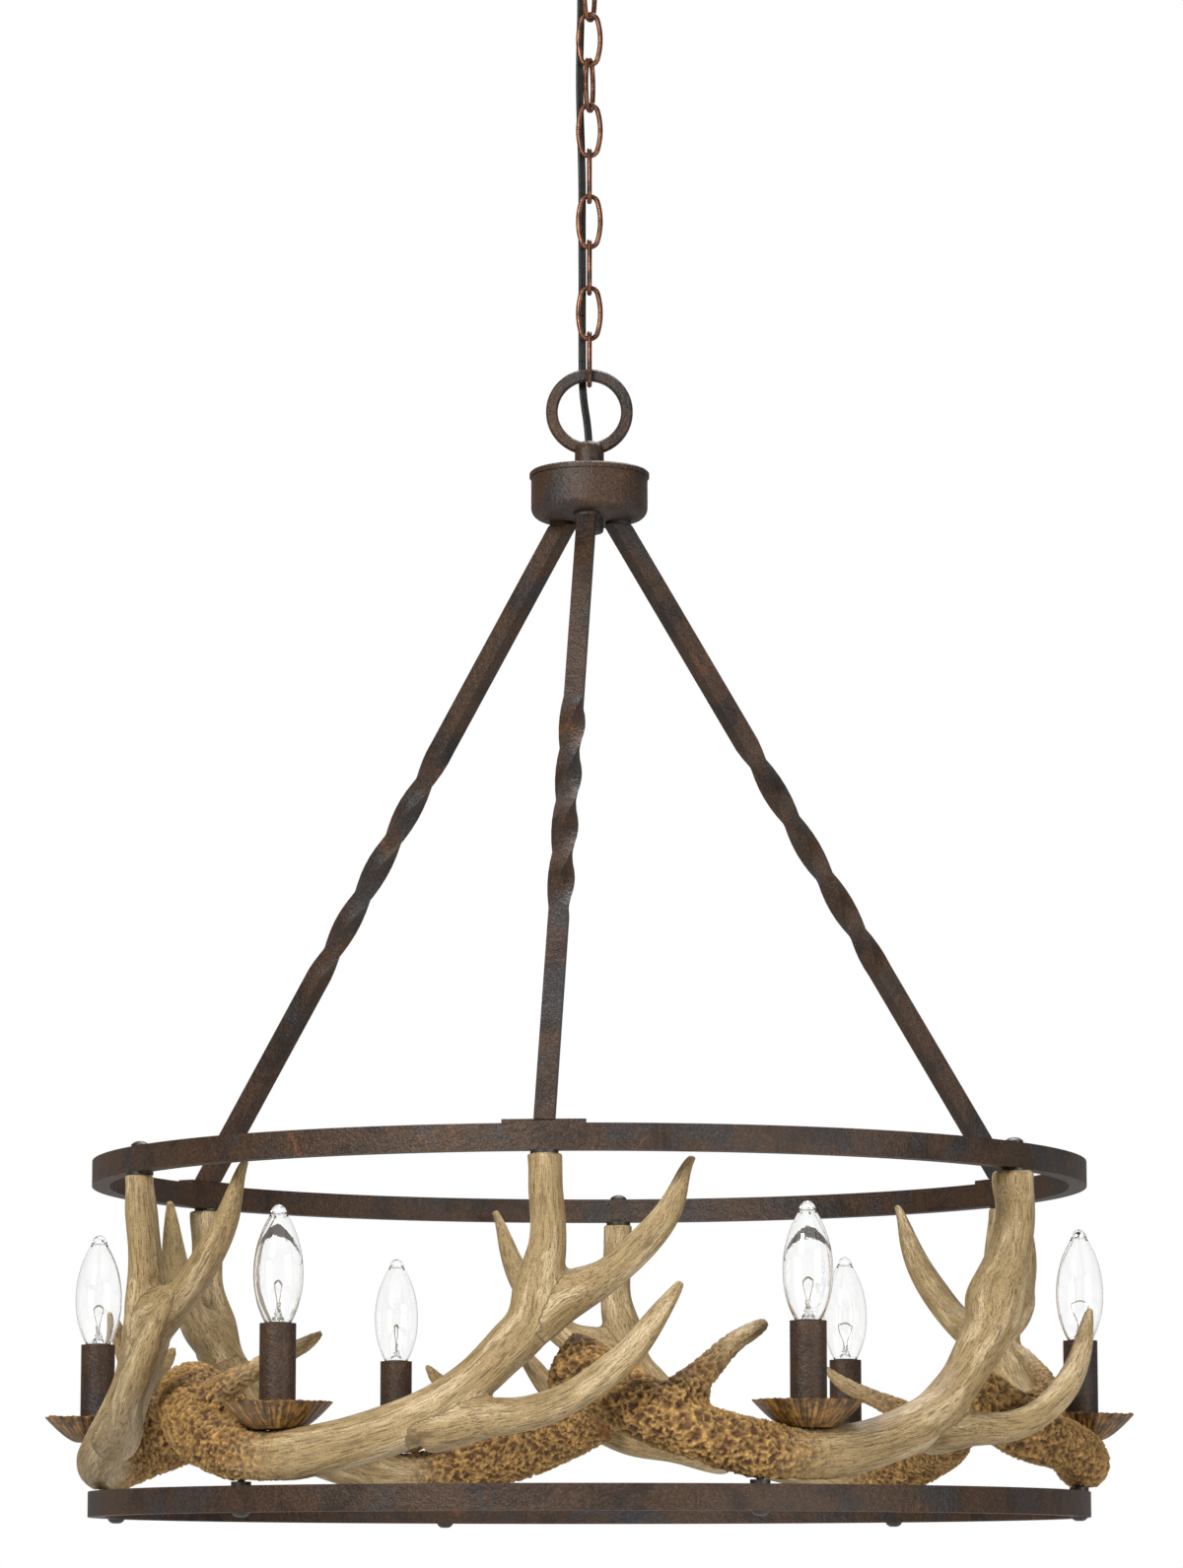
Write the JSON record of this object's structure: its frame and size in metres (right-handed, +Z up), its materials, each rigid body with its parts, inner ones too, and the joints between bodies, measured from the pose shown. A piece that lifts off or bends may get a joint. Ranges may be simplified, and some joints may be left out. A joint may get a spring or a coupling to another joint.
{
  "type": "antler chandelier",
  "caption": "Ring chandelier hung on a chain, with cast antlers between two flat-bar rings carrying candle lamps over leaf-shaped drip pans.",
  "frame": {"origin": "middle of the canopy at the ceiling plane, on the crossbar", "axes": "+Z up, -Y to the front, +X to the right seen from the front"},
  "size_m": [0.7491, 0.7368, 1.1716],
  "materials": {
    "rusted_steel": "dark rust with blue-grey mottling, lightly hammered",
    "chain_copper": "oiled copper brown",
    "antler_resin": "cast resin painted as antler, smooth grain and rough burr",
    "pan_resin": "brown-gold, grooved",
    "clear_glass": "clear",
    "base_brass": "bright",
    "socket_black": "phenolic",
    "cord_black": "flat twin cord",
    "plated_steel": "zinc plate",
    "dark_screws": "black oxide",
    "wire_nut_orange": "moulded"
  },
  "bodies": {
    "ceiling_fitting": {"mounting_crossbar": "plated_steel", "canopy_nipple": "plated_steel", "ceiling_canopy": "rusted_steel", "canopy_collar_nut": "rusted_steel", "canopy_loop": "chain_copper", "power_cord": "cord_black"},
    "chain_9": {"chain_link_9": "chain_copper"},
    "chain_8": {"chain_link_8": "chain_copper"},
    "chain_7": {"chain_link_7": "chain_copper"},
    "chain_6": {"chain_link_6": "chain_copper"},
    "chain_5": {"chain_link_5": "chain_copper"},
    "chain_4": {"chain_link_4": "chain_copper"},
    "chain_3": {"chain_link_3": "chain_copper"},
    "chain_2": {"chain_link_2": "chain_copper"},
    "chain_1": {"chain_link_1": "chain_copper"},
    "fixture": {"hanging_ring": "rusted_steel", "hub_lid": "rusted_steel", "hub_cup": "rusted_steel", "hub_nipple": "plated_steel", "hub_finial": "rusted_steel", "wire_nuts": "wire_nut_orange", "bar_nuts": "plated_steel", "twisted_bar_1": "rusted_steel", "twisted_bar_2": "rusted_steel", "twisted_bar_3": "rusted_steel", "upper_ring": "rusted_steel", "lower_ring": "rusted_steel", "antler_1": "antler_resin", "antler_2": "antler_resin", "antler_3": "antler_resin", "antler_4": "antler_resin", "antler_5": "antler_resin", "antler_6": "antler_resin", "post_studs": "plated_steel", "cap_nuts": "dark_screws", "antler_washers": "dark_screws", "base_screws": "dark_screws", "candle_sleeves": "rusted_steel", "lamp_sockets": "socket_black", "drip_pan_1": "pan_resin", "drip_pan_2": "pan_resin", "drip_pan_3": "pan_resin", "drip_pan_4": "pan_resin", "drip_pan_5": "pan_resin", "drip_pan_6": "pan_resin"},
    "bulb_1": {"bulb_base_1": "base_brass", "bulb_glass_1": "clear_glass"},
    "bulb_2": {"bulb_base_2": "base_brass", "bulb_glass_2": "clear_glass"},
    "bulb_3": {"bulb_base_3": "base_brass", "bulb_glass_3": "clear_glass"},
    "bulb_4": {"bulb_base_4": "base_brass", "bulb_glass_4": "clear_glass"},
    "bulb_5": {"bulb_base_5": "base_brass", "bulb_glass_5": "clear_glass"},
    "bulb_6": {"bulb_base_6": "base_brass", "bulb_glass_6": "clear_glass"}
  },
  "joints": [
    {"name": "link_9_swing", "type": "hinge", "parent": "ceiling_fitting", "child": "chain_9", "pos_m": [0, 0, -0.0735], "axis": [1, 0, 0], "range_deg": [-8, 8], "deforming": ["power_cord"]},
    {"name": "link_8_swing", "type": "hinge", "parent": "chain_9", "child": "chain_8", "pos_m": [0, 0, -0.10645], "axis": [0.4695, 0.8829, 0], "range_deg": [-8, 8]},
    {"name": "link_7_swing", "type": "hinge", "parent": "chain_8", "child": "chain_7", "pos_m": [0, 0, -0.13985], "axis": [1, 0, 0], "range_deg": [-8, 8]},
    {"name": "link_6_swing", "type": "hinge", "parent": "chain_7", "child": "chain_6", "pos_m": [0, 0, -0.17325], "axis": [0.3256, 0.9455, 0], "range_deg": [-8, 8]},
    {"name": "link_5_swing", "type": "hinge", "parent": "chain_6", "child": "chain_5", "pos_m": [0, 0, -0.20665], "axis": [1, 0, 0], "range_deg": [-8, 8]},
    {"name": "link_4_swing", "type": "hinge", "parent": "chain_5", "child": "chain_4", "pos_m": [0, 0, -0.24005], "axis": [0, 1, 0], "range_deg": [-8, 8]},
    {"name": "link_3_swing", "type": "hinge", "parent": "chain_4", "child": "chain_3", "pos_m": [0, 0, -0.27345], "axis": [1, 0, 0], "range_deg": [-8, 8]},
    {"name": "link_2_swing", "type": "hinge", "parent": "chain_3", "child": "chain_2", "pos_m": [0, 0, -0.30685], "axis": [0, 1, 0], "range_deg": [-8, 8]},
    {"name": "link_1_swing", "type": "hinge", "parent": "chain_2", "child": "chain_1", "pos_m": [0, 0, -0.34025], "axis": [1, 0, 0], "range_deg": [-8, 8]},
    {"name": "hanger_swing", "type": "hinge", "parent": "chain_1", "child": "fixture", "pos_m": [0, 0, -0.37365], "axis": [0, 1, 0], "range_deg": [-8, 8]},
    {"name": "bulb_1_turn", "type": "hinge", "parent": "fixture", "child": "bulb_1", "pos_m": [-0.19903, -0.27195, -1.04885], "axis": [0, 0, 1], "continuous": true},
    {"name": "bulb_2_turn", "type": "hinge", "parent": "fixture", "child": "bulb_2", "pos_m": [0.13868, -0.30714, -1.04885], "axis": [0, 0, 1], "continuous": true},
    {"name": "bulb_3_turn", "type": "hinge", "parent": "fixture", "child": "bulb_3", "pos_m": [0.33561, -0.03054, -1.04885], "axis": [0, 0, 1], "continuous": true},
    {"name": "bulb_4_turn", "type": "hinge", "parent": "fixture", "child": "bulb_4", "pos_m": [0.18942, 0.27873, -1.04885], "axis": [0, 0, 1], "continuous": true},
    {"name": "bulb_5_turn", "type": "hinge", "parent": "fixture", "child": "bulb_5", "pos_m": [-0.14402, 0.30468, -1.04885], "axis": [0, 0, 1], "continuous": true},
    {"name": "bulb_6_turn", "type": "hinge", "parent": "fixture", "child": "bulb_6", "pos_m": [-0.34148, 0.03228, -1.04885], "axis": [0, 0, 1], "continuous": true}
  ]
}
